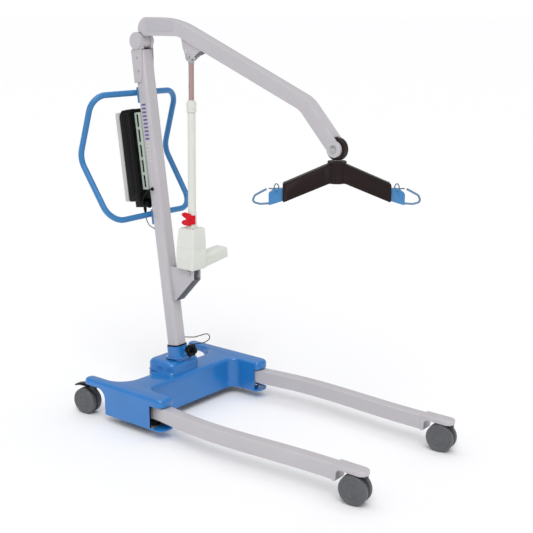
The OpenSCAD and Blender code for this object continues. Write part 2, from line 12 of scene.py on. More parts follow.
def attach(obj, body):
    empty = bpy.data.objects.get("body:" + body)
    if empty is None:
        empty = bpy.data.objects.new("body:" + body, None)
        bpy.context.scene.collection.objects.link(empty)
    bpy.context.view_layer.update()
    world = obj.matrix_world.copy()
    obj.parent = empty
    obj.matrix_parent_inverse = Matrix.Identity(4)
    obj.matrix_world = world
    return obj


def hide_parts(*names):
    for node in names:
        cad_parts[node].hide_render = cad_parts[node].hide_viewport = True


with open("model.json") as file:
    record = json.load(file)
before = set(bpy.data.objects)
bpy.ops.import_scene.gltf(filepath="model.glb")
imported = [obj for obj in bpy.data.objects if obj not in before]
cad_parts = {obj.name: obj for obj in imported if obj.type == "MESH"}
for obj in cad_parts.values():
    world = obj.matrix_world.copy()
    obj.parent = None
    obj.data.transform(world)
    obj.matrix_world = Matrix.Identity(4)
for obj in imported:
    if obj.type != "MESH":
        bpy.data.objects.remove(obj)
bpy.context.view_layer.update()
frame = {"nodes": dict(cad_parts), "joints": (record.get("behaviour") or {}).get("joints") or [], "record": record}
joints = {j["name"]: j for j in frame["joints"]}

MM = 0.001
SIDES = {"right": -1, "left": 1}


# ---- frames ----

def frame_of(origin, x, z):
    """Matrix from millimetres in a frame to metres in the row frame."""
    z = Vector(z).normalized()
    y = z.cross(Vector(x)).normalized()
    x = y.cross(z)
    turn = Matrix((x, y, z)).transposed().to_4x4()
    return Matrix.Translation(origin) @ turn @ Matrix.Scale(MM, 4)


def pos(joint):
    return Vector(joints[joint]["pos_m"])


def axis(joint):
    return Vector(joints[joint]["axis"]).normalized()


X, Z = (1, 0, 0), (0, 0, 1)
ROW = Matrix.Scale(MM, 4)
MAST = frame_of(pos("boom_lift"), X, axis("battery_lift"))
RAM = frame_of(pos("actuator_tilt"), X, axis("rod_slide"))
HINGE = pos("boom_lift") / MM
BOOM_END = pos("hanger_tilt") / MM
bar_x = pos("latch_left_open") - pos("spreader_swivel")
bar_x.z = 0
BAR = frame_of((pos("hanger_tilt").x, pos("hanger_tilt").y, 0), bar_x, Z)
RAM_LENGTH = 791.1
MAST_W, MAST_D = 56, 54


# ---- outlines, in millimetres ----

def arc(cx, cy, r, a0, a1, n=12):
    return [(cx + r * cos(radians(a0 + (a1 - a0) * i / n)), cy + r * sin(radians(a0 + (a1 - a0) * i / n)))
            for i in range(n + 1)]


def rounded_rect(w, d, r, n=8, cx=0, cy=0):
    points = []
    for k, (sx, sy) in enumerate(((1, 1), (-1, 1), (-1, -1), (1, -1))):
        points += arc(cx + sx * (w / 2 - r), cy + sy * (d / 2 - r), r, 90 * k, 90 * k + 90, n)
    return points


def mirrored(points):
    return [(-x, y) for x, y in reversed(points)]


def smooth_path(points, radii, n=8):
    """An open path with its corners rounded."""
    points = [Vector(p) for p in points]
    path = []
    for i, p in enumerate(points):
        if i in (0, len(points) - 1) or not radii[i]:
            path.append(p)
            continue
        u = (points[i - 1] - p).normalized()
        v = (points[i + 1] - p).normalized()
        half = acos(max(-1, min(1, u.dot(v)))) / 2
        centre = p + (u + v).normalized() * radii[i] / sin(half)
        a = p + u * radii[i] / tan(half) - centre
        b = p + v * radii[i] / tan(half) - centre
        turn = pi - 2 * half
        for k in range(n + 1):
            t = k / n
            path.append(centre + (a * sin((1 - t) * turn) + b * sin(t * turn)) / sin(turn))
    return path


# ---- solids: each returns a bmesh in millimetres ----

def from_rings(rings, closed=False):
    bm = bmesh.new()
    loops = [[bm.verts.new(p) for p in ring] for ring in rings]
    pairs = list(zip(loops, loops[1:]))
    if closed:
        pairs.append((loops[-1], loops[0]))
    for a, b in pairs:
        for k in range(len(a)):
            m = (k + 1) % len(a)
            bm.faces.new((a[k], a[m], b[m], b[k]))
    if not closed:
        bm.faces.new(list(reversed(loops[0])))
        bm.faces.new(loops[-1])
    bmesh.ops.recalc_face_normals(bm, faces=bm.faces)
    return bm


def prism(outline, low, high):
    """An outline in X and Y, given height along Z."""
    return from_rings([[(x, y, z) for x, y in outline] for z in (low, high)])


def plate(outline, x0, x1):
    """An outline in Y and Z, given thickness along X."""
    return from_rings([[(x, y, z) for y, z in outline] for x in (x0, x1)])


def block(low, high):
    (x0, y0, z0), (x1, y1, z1) = low, high
    return prism([(x0, y0), (x1, y0), (x1, y1), (x0, y1)], z0, z1)


def lathe(profile, steps=64, hollow=False):
    """A profile of radius and height turned about Z. A hollow one is a ring that closes on itself."""
    rings = [[(r * cos(2 * pi * k / steps), r * sin(2 * pi * k / steps), z) for k in range(steps)]
             for r, z in profile]
    return from_rings(rings, closed=hollow)


def disc(r, low, high, steps=64, edge=0.6):
    return lathe([(r - edge, low), (r, low + edge), (r, high - edge), (r - edge, high)], steps)


def sweep(path, radius, sides=16, up=(0, 0, 1)):
    path = [Vector(p) for p in path]
    normal = Vector(up)
    rings = []
    for i, p in enumerate(path):
        t = (path[min(i + 1, len(path) - 1)] - path[max(i - 1, 0)]).normalized()
        normal = (normal - t * normal.dot(t)).normalized()
        side = t.cross(normal)
        rings.append([p + radius * (cos(2 * pi * k / sides) * normal + sin(2 * pi * k / sides) * side)
                      for k in range(sides)])
    return from_rings(rings)


def moved(bm, matrix):
    bmesh.ops.transform(bm, matrix=matrix, verts=bm.verts)
    if matrix.determinant() < 0:
        bmesh.ops.reverse_faces(bm, faces=bm.faces)
    return bm


def shifted(bm, x=0, y=0, z=0):
    return moved(bm, Matrix.Translation((x, y, z)))


def turned(bm, degrees, about):
    return moved(bm, Matrix.Rotation(radians(degrees), 4, about))


def along_x(bm, x=0, y=0, z=0, way=1):
    """Lays a solid drawn about Z along X, pointing to +X or -X."""
    return shifted(turned(bm, 90 * way, "Y"), x, y, z)


def flipped(bm):
    return moved(bm, Matrix.Scale(-1, 4, (1, 0, 0)))


def softened(bm, width, segments=3, angle=32):
    """Rounds the edges that are sharper than the angle."""
    bmesh.ops.remove_doubles(bm, verts=bm.verts, dist=0.01)
    edges = [e for e in bm.edges if e.is_manifold and e.calc_face_angle(0) > radians(angle)]
    bmesh.ops.bevel(bm, geom=edges, offset=width, segments=segments, profile=0.5, affect="EDGES",
                    clamp_overlap=True)
    return bm


def joined(*parts):
    whole = bmesh.new()
    for part in parts:
        data = bpy.data.meshes.new("part")
        part.to_mesh(data)
        part.free()
        whole.from_mesh(data)
        bpy.data.meshes.remove(data)
    return whole


def temporary(bm, name):
    data = bpy.data.meshes.new(name)
    bm.to_mesh(data)
    bm.free()
    obj = bpy.data.objects.new(name, data)
    bpy.context.scene.collection.objects.link(obj)
    return obj


def cut(bm, *cutters):
    """Takes the cutters out of a solid."""
    target = temporary(bm, "target")
    tools = [temporary(c, "cutter") for c in cutters]
    for tool in tools:
        step = target.modifiers.new("cut", "BOOLEAN")
        step.operation = "DIFFERENCE"
        step.solver = "EXACT"
        step.object = tool
    bpy.context.view_layer.update()
    done = target.evaluated_get(bpy.context.evaluated_depsgraph_get())
    result = bmesh.new()
    result.from_mesh(done.to_mesh())
    done.to_mesh_clear()
    for obj in [target, *tools]:
        bpy.data.objects.remove(obj)
    bmesh.ops.remove_doubles(result, verts=result.verts, dist=0.005)
    return result


def piece(name, parts, body, material, at=ROW, replaces=(), sharp=38):
    """Makes one object of the parts, in its place, with its material, riding on its body."""
    bm = joined(*parts) if isinstance(parts, (list, tuple)) else parts
    bmesh.ops.transform(bm, matrix=at, verts=bm.verts)
    data = bpy.data.meshes.new(name)
    bm.to_mesh(data)
    bm.free()
    data.shade_smooth()
    data.set_sharp_from_angle(angle=radians(sharp))
    data.materials.append(material)
    obj = bpy.data.objects.new(name, data)
    bpy.context.scene.collection.objects.link(obj)
    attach(obj, body)
    if replaces:
        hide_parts(*([replaces] if isinstance(replaces, str) else replaces))
    return obj


# ---- materials ----

def linear(rgb):
    """sRGB values from 0 to 255 as linear ones."""
    return [((c / 255 + 0.055) / 1.055) ** 2.4 if c > 10.31 else c / 3294.6 for c in rgb]


def finish_of(name, colour, rough=0.4, spread=0.06, metal=0.0, bump=0.08, grain=900, patch=9, coat=0.0,
              shine=0.5, edge_highlight=None, stretch=(1, 1, 1)):
    """A material with slow colour drift, fine surface grain, uneven gloss and, if asked, a painted highlight: a
    paler colour along convex edges.
    """
    material = bpy.data.materials.new(name)
    material.use_nodes = True
    nodes, links = material.node_tree.nodes, material.node_tree.links
    shader = nodes["Principled BSDF"]
    shader.inputs["Metallic"].default_value = metal
    shader.inputs["Coat Weight"].default_value = coat
    shader.inputs["Coat Roughness"].default_value = 0.12
    shader.inputs["Specular IOR Level"].default_value = shine
    where = nodes.new("ShaderNodeTexCoord")
    scaled = nodes.new("ShaderNodeMapping")
    scaled.inputs["Scale"].default_value = stretch
    links.new(where.outputs["Object"], scaled.inputs["Vector"])

    def noise(scale, detail):
        n = nodes.new("ShaderNodeTexNoise")
        n.inputs["Scale"].default_value = scale
        n.inputs["Detail"].default_value = detail
        links.new(scaled.outputs["Vector"], n.inputs["Vector"])
        return n.outputs["Fac"]

    slow, fine = noise(patch, 3), noise(grain, 4)
    base = linear(colour)
    ramp = nodes.new("ShaderNodeValToRGB")
    ramp.color_ramp.elements[0].position = 0.3
    ramp.color_ramp.elements[1].position = 0.7
    ramp.color_ramp.elements[0].color = (*[c * (1 - spread) for c in base], 1)
    ramp.color_ramp.elements[1].color = (*[min(1, c * (1 + spread)) for c in base], 1)
    links.new(slow, ramp.inputs["Fac"])
    tint = ramp.outputs["Color"]
    # Convex edges are mixed towards a paler colour: a painted highlight where light catches them.
    if edge_highlight:
        edge = nodes.new("ShaderNodeNewGeometry").outputs["Pointiness"]
        edge_highlight_mask = nodes.new("ShaderNodeMapRange")
        edge_highlight_mask.inputs["From Min"].default_value = 0.52
        edge_highlight_mask.inputs["From Max"].default_value = 0.60
        edge_highlight_mask.inputs["To Max"].default_value = 0.5
        links.new(edge, edge_highlight_mask.inputs["Value"])
        mix = nodes.new("ShaderNodeMix")
        mix.data_type = "RGBA"
        links.new(edge_highlight_mask.outputs["Result"], mix.inputs["Factor"])
        links.new(tint, mix.inputs["A"])
        mix.inputs["B"].default_value = (*linear(edge_highlight), 1)
        tint = mix.outputs["Result"]
    links.new(tint, shader.inputs["Base Color"])
    gloss = nodes.new("ShaderNodeMapRange")
    gloss.inputs["To Min"].default_value = max(0.02, rough - 0.06)
    gloss.inputs["To Max"].default_value = rough + 0.08
    links.new(slow, gloss.inputs["Value"])
    links.new(gloss.outputs["Result"], shader.inputs["Roughness"])
    raised = nodes.new("ShaderNodeBump")
    raised.inputs["Strength"].default_value = bump
    raised.inputs["Distance"].default_value = 0.0006
    links.new(fine, raised.inputs["Height"])
    links.new(raised.outputs["Normal"], shader.inputs["Normal"])
    return material


LILAC = finish_of("lilac_powder_coat", (191, 187, 191), rough=0.3, spread=0.02, bump=0.05, grain=1400,
                  coat=0.3)
BLUE = finish_of("blue_moulding", (30, 118, 192), rough=0.3, spread=0.05, bump=0.04, grain=700, coat=1.0,
                 shine=0.2)
# Its pale blue edge colour is a painted highlight along the rounded edges.
BLUE_PAINT = finish_of("blue_powder_coat", (48, 122, 180), rough=0.34, spread=0.04, bump=0.06, grain=1500,
                       edge_highlight=(120, 170, 215))
BLUE_WIRE = finish_of("blue_coated_wire", (96, 130, 164), rough=0.32, spread=0.08, bump=0.05, grain=1500)
BLACK = finish_of("black_moulding", (12, 12, 13), rough=0.3, spread=0.15, bump=0.1, grain=1100, shine=0.15)
# Its paler edge colour is a painted highlight along the rounded edges.
DARK = finish_of("brown_black_moulding", (35, 25, 24), rough=0.4, spread=0.12, bump=0.2, grain=1000,
                 shine=0.15,
                 edge_highlight=(58, 48, 46))
PALE = finish_of("pale_grey_moulding", (200, 202, 198), rough=0.45, spread=0.03, bump=0.12, grain=900)
CREAM = finish_of("cream_moulding", (222, 224, 216), rough=0.4, spread=0.02, bump=0.08, grain=900)
RED = finish_of("red_moulding", (214, 6, 34), rough=0.35, spread=0.05, bump=0.08, grain=900, shine=0.2)
SAGE = finish_of("grey_green_steel", (188, 200, 188), rough=0.4, spread=0.04, bump=0.06, grain=1300)
CHROME = finish_of("polished_rod", (176, 152, 148), rough=0.16, spread=0.06, metal=1.0, bump=0.02, grain=300,
                   stretch=(1, 1, 0.05))
STEEL = finish_of("zinc_plated_steel", (178, 178, 178), rough=0.3, spread=0.12, metal=1.0, bump=0.1,
                  grain=700,
                  patch=60)
LATCH_STEEL = finish_of("blued_latch_steel", (86, 108, 128), rough=0.3, spread=0.15, metal=0.6, bump=0.1,
                        grain=700)
CHASSIS = finish_of("chassis_paint", (84, 84, 88), rough=0.5, spread=0.08, bump=0.15, grain=800)
NYLON = finish_of("castor_nylon", (60, 61, 64), rough=0.45, spread=0.06, bump=0.15, grain=900)
TREAD = finish_of("castor_wheel", (88, 89, 92), rough=0.42, spread=0.05, bump=0.12, grain=1000)
RUBBER = finish_of("black_cable_jacket", (16, 16, 17), rough=0.5, spread=0.1, bump=0.1, grain=1200, shine=0.2)
GREY_RUBBER = finish_of("grey_cable_jacket", (104, 104, 106), rough=0.5, spread=0.08, bump=0.1, grain=1200)
PANEL = finish_of("lilac_panel", (186, 183, 190), rough=0.3, spread=0.03, bump=0.04, grain=900)
VIOLET = finish_of("violet_stripe", (104, 84, 150), rough=0.4, spread=0.04, bump=0.04)

SLOT_LOOKS = {
    "lilac_paint": LILAC, "blue_plastic": BLUE, "blue_paint": BLUE_PAINT, "frame_paint": CHASSIS,
    "black_plastic": BLACK, "dark_plastic": DARK, "light_plastic": PALE, "red_plastic": RED,
              "cream_plastic": CREAM,
    "bracket_paint": SAGE, "rod_chrome": CHROME, "plain_steel": STEEL, "castor_plastic": NYLON,
    "castor_tread": TREAD, "black_cable": RUBBER, "grey_cable": GREY_RUBBER}


def dress_cad_nodes():
    for part in frame["record"]["subparts"]:
        node = frame["nodes"][part["node"]]
        node.data.materials.clear()
        node.data.materials.append(SLOT_LOOKS[part["material_slot"]])


# ---- leads: free lengths of cable between two fixed ends ----

BOX_LEAD = smooth_path([(-34.2, 530, 787), (-46, 530, 788), (-50, 514, 818), (-48, 489, 846),
                        (-34.4, 488, 846)],
                       [0, 11, 14, 11, 0])
PLUG_LEAD = smooth_path([(-20, 536.5, 742), (-20, 534, 722), (-20, 520, 702), (-20, 491.4, 692)],
                        [0, 18, 16, 0])
LEG_LEAD = smooth_path([(31.4, 408, 264), (40, 408, 264), (70, 378, 262), (104, 342, 276), (122, 334, 256),
                        (96, 348, 240), (55, 388, 232), (55, 388, 206.1)], [0, 14, 30, 14, 14, 16, 14, 0])


def make_leads():
    for name, path, radius, slot, look in (("box_lead", BOX_LEAD, 2.6, "black_cable", RUBBER),
                                           ("plug_lead", PLUG_LEAD, 1.9, "grey_cable", GREY_RUBBER),
                                           ("leg_lead", LEG_LEAD, 1.8, "black_cable", RUBBER)):
        lead = piece(name + "_jacket", sweep(path, radius, 14), "root", look, replaces=name, sharp=60)


# ---- base ----

BASE_HALF, BASE_LOW, BASE_TOP = 306, 30, 150


def base_outline(t):
    half = (arc(194, 286, 40 + t, 90, 0, 16) + arc(254, 214, 20 - t, 180, 270, 12)
            + arc(BASE_HALF - 30, 224, 30 - t, 270, 360, 14) + arc(BASE_HALF - 22, 584, 22 - t, 0, 90, 12)
            + arc(280, 584, 22 - t, 90, 180, 12) + arc(183, 514, 75 + t, 0, -90, 20)
            + arc(97, 454, 15 + t, 270, 180, 8) + arc(57, 467, 25 - t, 0, 90, 10))
    return half + mirrored(half)


def base_cover():
    edge = 13
    rolled = [(edge * (1 - cos(radians(a))), BASE_TOP - edge + edge * sin(radians(a)))
              for a in range(0, 91, 15)]
    inner = [(4 + t * 0.7, z - 4) for t, z in reversed(rolled)] + [(4, BASE_LOW)]
    outer = [(0, BASE_LOW), (0, BASE_LOW + 40), (0, BASE_TOP - 30)] + rolled
    rings = [[(x, y, z) for x, y in base_outline(t)] for t, z in inner + outer]
    cutters = []

    def box(s, x0, x1, y0, y1, z0, z1):
        a, b = sorted((s * x0, s * x1))
        return block((a, y0, z0), (b, y1, z1))

    for s in (-1, 1):
        arch = [(487, 15)] + arc(525, 88, 38, 180, 90, 14) + [(622, 126), (622, 15)]
        cutters += [box(s, 239, 312, 178, 252, 36, 120), box(s, 217, 241, 178, 214, 36, 120)]
        low, high = sorted((s * 241, s * 322))
        cutters.append(plate(arch, low, high))
    cutters.append(moved(prism(rounded_rect(70, 68, 18), -1290, -1190), Matrix.Scale(1 / MM, 4) @ MAST))
    shell = softened(cut(from_rings(rings), *cutters), 1.2, 2, 50)
    parts = [shell]
    for s in (-1, 1):
        floor = ([(235, 245), (235, 214)] + arc(254, 214, 19, 180, 270)
                 + arc(276, 224, 29, 270, 360) + [(305, 245)])
        lip = softened(prism(floor, 30.5, 34.5), 1, 2)
        parts.append(lip if s > 0 else flipped(lip))
    piece("base_shell", parts, "root", BLUE, replaces="base_cover")


def nose_shade_strips():
    """Black strips round the mouth where each leg leaves the base: painted shade in the gap."""
    for side, s in SIDES.items():
        shade_strip = softened(block((300, 250.6, 36), (305.4, 254, 120)), 0.8, 2)
        parts = [shade_strip if s > 0 else flipped(shade_strip)]
        piece("nose_shade_strip_" + side, parts, "root", BLACK)


def tower():
    profile = [(-3, 150.1), (-2.6, 151.4), (-1, 153), (0, 158), (0, 174)]
    profile += [(18 * (1 - cos(radians(a))), 174 + 18 * sin(radians(a))) for a in range(15, 91, 15)]

    def ring(t, z):
        return [(x, y, z)
                for x, y in rounded_rect(160 - 2 * t, 136 - 2 * t, max(6, 27 - 0.5 * t), 10, 0, 424)]
    solid = from_rings([ring(t, z) for t, z in profile])
    hole = moved(prism(rounded_rect(67, 65, 17.5), -1290, -1150), Matrix.Scale(1 / MM, 4) @ MAST)
    lead_hole = shifted(disc(6.3, 140, 200), 55, 388)
    shell = softened(cut(solid, hole, lead_hole), 1.5, 3, 50)
    step = moved(from_rings([[(x, y, -1197 + z)
                              for x, y in rounded_rect(66.4 + 2 * t, 64.4 + 2 * t, 17 + t, 10)]
                             for t, z in ((0, -4), (9, -4), (8.2, 0.5), (6, 2.2), (0, 2.6))]),
                 Matrix.Scale(1 / MM, 4) @ MAST)
    piece("tower_shell", [shell, step], "root", BLUE, replaces="tower_cover")


def mast_socket():
    knob, mast_low = pos("knob_turn") / MM, -1281

    def ring(grow, z):
        return [(x, y, z) for x, y in rounded_rect(MAST_W + 10 + grow, MAST_D + 10 + grow, 17 + grow / 2, 10)]
    collar = from_rings([ring(0, mast_low), ring(0, -1157), ring(-1, -1155.4), ring(-3, -1155)])
    boss = shifted(turned(lathe([(11, 0), (11, 23.5), (9.8, 24.8)]), 90, "X"), knob.x, knob.y + 31, knob.z)
    boss = moved(boss, MAST.inverted() @ ROW)
    piece("mast_collar_shell", [collar, boss], "root", BLUE, at=MAST, replaces="mast_collar")
    nut = lathe([(11.2, 1), (14, 2), (14, 9), (12.6, 10), (11.2, 10)], 6, hollow=True)
    nut = shifted(turned(nut, 90, "X"), knob.x, knob.y + 16, knob.z)
    piece("lock_nut", nut, "root", BLACK)

    def lip(grow, z):
        return [(x, y, z) for x, y in rounded_rect(MAST_W + grow, MAST_D + grow, 13 + grow / 2, 10)]
    seal = from_rings([lip(8, -1154.9), lip(9, -1153.5), lip(8, -1150.8), lip(5, -1149.9), lip(0.6, -1149.9)])
    piece("collar_seal_ring", seal, "root", BLACK, at=MAST, replaces="collar_seal")


def lock_knob():
    lobes = []
    for k in range(144):
        a = 2 * pi * k / 144
        lobes.append((a, 23.4 + 2.1 * cos(6 * a)))

    def ring(shrink, z):
        return [((r - shrink) * cos(a), (r - shrink) * sin(a), z) for a, r in lobes]
    body = from_rings([ring(6, 0), ring(1.6, 0.4), ring(0, 2.4), ring(0, 14), ring(1.2, 16.6), ring(4, 18),
                       ring(9, 17.6), ring(12, 16.4)])
    neck = lathe([(9, -5.8), (9, 1), (7, 2)])
    tail = lathe([(8, 12), (8, 30), (7, 34.5), (4, 36.8)])
    ribs = [lathe([(7.9, z), (8.7, z + 0.5), (8.7, z + 1.7), (7.9, z + 2.2)], 48, hollow=True)
            for z in (21, 25, 29)]
    stud = lathe([(4.4, -29.5), (5, -28.6), (5, -4)])
    at = frame_of(pos("knob_turn"), X, axis("knob_turn"))
    piece("lock_knob_grip", [body, neck, tail, *ribs], "lock_knob", BLACK, at=at,
          replaces="lock_knob")
    piece("lock_knob_stud", stud, "lock_knob", STEEL, at=at)


# ---- mast ----

def mast():
    def ring(w, z, r=13):
        return [(x, y, z) for x, y in rounded_rect(w, w - 2, r, 12)]
    low = -1281
    tube = from_rings([ring(50, -33, 10), ring(50, low, 10), ring(MAST_W, low), ring(MAST_W, -34),
                       ring(55, -33.1)],
                      closed=True)
    piece("mast_tube", tube, "root", LILAC, at=MAST, replaces="mast")
    bars = [softened(plate(rounded_rect(22, 7, 3, 5, 1, z), -28.35, -27.6), 0.2, 1)
            for z in range(-232, -450, -14)]
    piece("violet_bars", bars[:10], "root", VIOLET, at=MAST)
    piece("grey_bars", bars[10:], "root", PALE, at=MAST)
    screws = []
    for z in (-60, -110):
        screws.append(along_x(lathe([(4.2, 0), (4.2, 0.9), (3, 1.8), (1.2, 2.1)], 32), -31.4, 2, z, -1))
        screws.append(along_x(lathe([(4.2, 0), (4.2, 0.9), (3, 1.8), (1.2, 2.1)], 32), 31.4, 2, z, 1))
    piece("head_screws", screws, "root", STEEL, at=MAST)
    plug = from_rings([[(x, y, z) for x, y in rounded_rect(54, 52, 12, 8)] for z in (-32.9, -31.3)])
    grommets = [
        moved(lathe([(6.5, 0), (6.5, 4.5), (4.8, 6.3), (3, 6.3)]), Matrix.Translation((-28, 488, 846))
              @ Matrix.Rotation(radians(-90), 4, "Y")),
        moved(lathe([(6, 0), (6, 2.2), (4.6, 3.3), (2, 3.3)]), Matrix.Translation((28, 408, 264))
              @ Matrix.Rotation(radians(90), 4, "Y")),
        shifted(lathe([(6, 180), (6, 196), (5.6, 203), (3.6, 206), (2, 206)]), 55, 388)]
    plug = moved(plug, ROW.inverted() @ MAST)
    piece("mast_plug_set", [plug, *grommets], "root", BLACK, replaces="mast_plugs")


def mast_head():
    parts = []
    for s in (-1, 1):
        ear = ([(33 * cos(radians(a)), 33 * sin(radians(a))) for a in range(-46, 227, 7)]
               + [(-27, -30.4), (30.8, -30.4)])
        cheek = softened(plate(ear, s * 23.3 - 7, s * 23.3 + 7), 1.6, 3)
        strap = [(-25, -30), (-22, -62)] + arc(8, -132, 18, 180, 270, 12) + [(30.8, -150), (30.8, -30)]
        x0, x1 = sorted((s * 28.2, s * 31.4))
        parts += [cheek, softened(plate(strap, x0, x1), 1.0, 3)]
    back = softened(block((-31.3, MAST_D / 2 + 0.4, -150), (31.3, MAST_D / 2 + 3.8, -30)), 1.2, 3)
    piece("mast_head_fork", [*parts, back], "root", LILAC, at=MAST, replaces="mast_head")
    caps = [along_x(lathe([(29.5, 30.4), (31, 31.4), (30.6, 33), (27, 34.6), (18, 35.6), (4, 36)], 96), way=s)
            for s in (-1, 1)]
    piece("hinge_pin_caps", caps, "root", LILAC, at=MAST, replaces="hinge_pin")
    piece("hinge_pin_shaft", along_x(disc(10, -30.5, 30.5)), "root", STEEL, at=MAST)


# ---- handle ----

TOP_BAR, LOW_BAR = 1199, 745


HANDLE_R = 11
HANDLE_SIDES = 28


def handle():
    lean = atan2(axis("battery_lift").y, axis("battery_lift").z)

    def bar_y(z):
        return HINGE.y + (z - HINGE.z) * tan(lean) + (MAST_D / 2 + 0.1 + 6 + 0.1 + 11) / cos(lean)
    route = smooth_path([(0, bar_y(TOP_BAR), TOP_BAR), (-30, bar_y(TOP_BAR), TOP_BAR), (-217, 594, 1197),
                         (-221, 668, 966), (-216, bar_y(LOW_BAR) + 2, 742), (-30, bar_y(LOW_BAR), LOW_BAR),
                         (0, bar_y(LOW_BAR), LOW_BAR)], [0, 60, 62, 75, 68, 60, 0], 14)
    loop = route + [Vector((-p.x, p.y, p.z)) for p in reversed(route[1:-1])]
    rings = []
    normal = Vector((0, 0, 1))
    count = len(loop)
    for i, p in enumerate(loop):
        t = (loop[(i + 1) % count] - loop[i - 1]).normalized()
        side = Vector((0, 1, 0.1)).cross(t).normalized()
        normal = t.cross(side)
        rings.append([p + HANDLE_R * (cos(2 * pi * k / HANDLE_SIDES) * side
                                      + sin(2 * pi * k / HANDLE_SIDES) * normal)
                      for k in range(HANDLE_SIDES)])
    piece("handle_loop", from_rings(rings, closed=True), "root", BLUE_PAINT, replaces="handle")
    plates, bolts = [], []
    for z in (TOP_BAR, LOW_BAR):
        mid = (z - HINGE.z) / cos(lean) - 4
        low, high = (-25, MAST_D / 2 + 0.1, mid - 29), (25, MAST_D / 2 + 6.1, mid + 29)
        plates.append(softened(block(low, high), 2, 3))
        for x in (-17, 17):
            for dz in (-21, 21):
                bolts.append(shifted(turned(lathe([(5.5, 0), (5.5, 2.2), (4.4, 3.4), (1.6, 3.8)], 24), -90,
                                            "X"),
                                     x, MAST_D / 2 + 6, mid + dz))
    piece("handle_mounts", plates, "root", BLUE_PAINT, at=MAST, replaces="handle_plates")
    piece("handle_bolts", bolts, "root", STEEL, at=MAST)


# ---- control box ----

def control_box():
    low, high, mid = -590, -245, 86

    def ring(w, d, z, shift=0, r=8):
        return [(x, y, z) for x, y in rounded_rect(w, d, r, 8, 0, mid + shift)]
    shell = from_rings([ring(96, 56, low, 0, 5), ring(102, 62, low + 3), ring(104, 63.6, low + 7),
                        ring(104, 63.6, high - 26), ring(103.4, 62.6, high - 20, -0.4),
                        ring(98, 54, high - 5, -4),
                        ring(94, 49, high - 1, -6, 7), ring(88, 44, high, -6, 5)])
    grooves = [block((s * 52 - 1.2, 60 + 9 * k, -560), (s * 52 + 1.2, 62 + 9 * k, -262)) for s in (-1, 1)
               for k in range(3)]
    hole = along_x(disc(11.2, 38, 60), 0, 86, -470)
    body = softened(cut(shell, hole, *grooves), 0.5, 2, 45)
    piece("control_box_case", body, "root", BLACK, at=MAST, replaces="control_box")
    top = softened(prism(rounded_rect(76, 30, 6, 6, 0, mid - 6), high - 0.4, high + 1.6), 0.7, 2)
    piece("control_box_lid", top, "root", BLACK, at=MAST)
    lamps = [shifted(lathe([(2.6, high + 1), (2.6, high + 2.4), (1.4, high + 3)], 24), x, mid - 6)
             for x in (-20, -8)]
    piece("status_lamps", lamps, "root", RED, at=MAST)


def battery_pack():
    back = 118.2

    def ring(w, d, z, r=7):
        return [(x, y, z) for x, y in rounded_rect(w, d, r, 8, 0, back + 11.6)]
    case = from_rings([ring(92, 18, -590, 5), ring(98, 23.2, -586), ring(98, 23.2, -258),
                       ring(96, 21, -253.5),
                       ring(90, 15, -252, 5)])
    slots = [block((-34, 139.4, -560 + 26 * k), (34, 143, -556 + 26 * k)) for k in range(9)]
    grip = prism(rounded_rect(60, 40, 10, 6, 0, 0), 0, 12)
    grip = shifted(turned(grip, -90, "X"), 0, 136.5, -296)
    case = softened(cut(case, grip, *slots), 0.8, 2, 45)
    piece("battery_case", case, "battery_pack", PALE, at=MAST, replaces="battery_pack")


def stop_button():
    stem = lathe([(10, 0), (11, 1), (11, 12)])
    head = lathe([(11, 11.9), (13.4, 12.1), (14, 13.2), (13.7, 14.9), (11, 16.3), (5, 16.9), (1, 16.9)])
    piece("stop_button_head", along_x(joined(stem, head), 44, 86, -470), "stop_button", RED,
          at=MAST,
          replaces="stop_button")
    rim = along_x(lathe([(14.6, 0), (16.6, 0), (16.6, 1.4), (14.6, 2.2)], 64, hollow=True), 51.8, 86, -470)
    piece("stop_button_rim", rim, "root", PALE, at=MAST)


def box_bracket():
    y0, y1 = MAST_D / 2 + 0.1, MAST_D / 2 + 26.8
    plate_ = block((-30, y0, -547), (30, y1, -258))
    holes = []
    for s in (-1, 1):
        for k in range(5):
            z = -540 + 57 * k
            holes.append(softened(block((s * 30 - 5, y0 + 8, z), (s * 30 + 5, y0 + 20, z + 48)), 3, 3))
    body = softened(cut(plate_, *holes), 0.7, 2, 50)
    piece("box_bracket_channel", body, "root", SAGE, at=MAST, replaces="box_bracket")
    # Black plates inside the side slots are painted shade, darkening the slots.
    inner = [softened(block((s * 26 - 1, y0 + 9, -540 + 57 * k + 2),
                            (s * 26 + 1, y0 + 19, -540 + 57 * k + 46)), 0.4, 1)
             for s in (-1, 1) for k in range(5)]
    piece("box_bracket_slot_shade", inner, "root", BLACK, at=MAST)


def connector_block():
    body = softened(block((-34, 36, -614), (26, 102, -590.1)), 3, 3)
    plugs = [shifted(lathe([(5.5, -614.2), (6.2, -617), (6.2, -625), (5, -628), (4.2, -640), (2.2, -642)],
                           32), -20, 66)]
    for x, y in ((2, 62), (16, 84)):
        plugs.append(shifted(lathe([(6, -614.1), (6.6, -615), (6.6, -619), (5, -620.6)], 32), x, y))
    side = along_x(lathe([(5.2, 33.6), (5.2, 38), (3.4, 43), (2.8, 44)], 32), 0, 53.4, -599.6, -1)
    piece("connector_block_body", [body, *plugs, side], "root", BLACK, at=MAST,
          replaces="connector_block")


# ---- lifting actuator ----

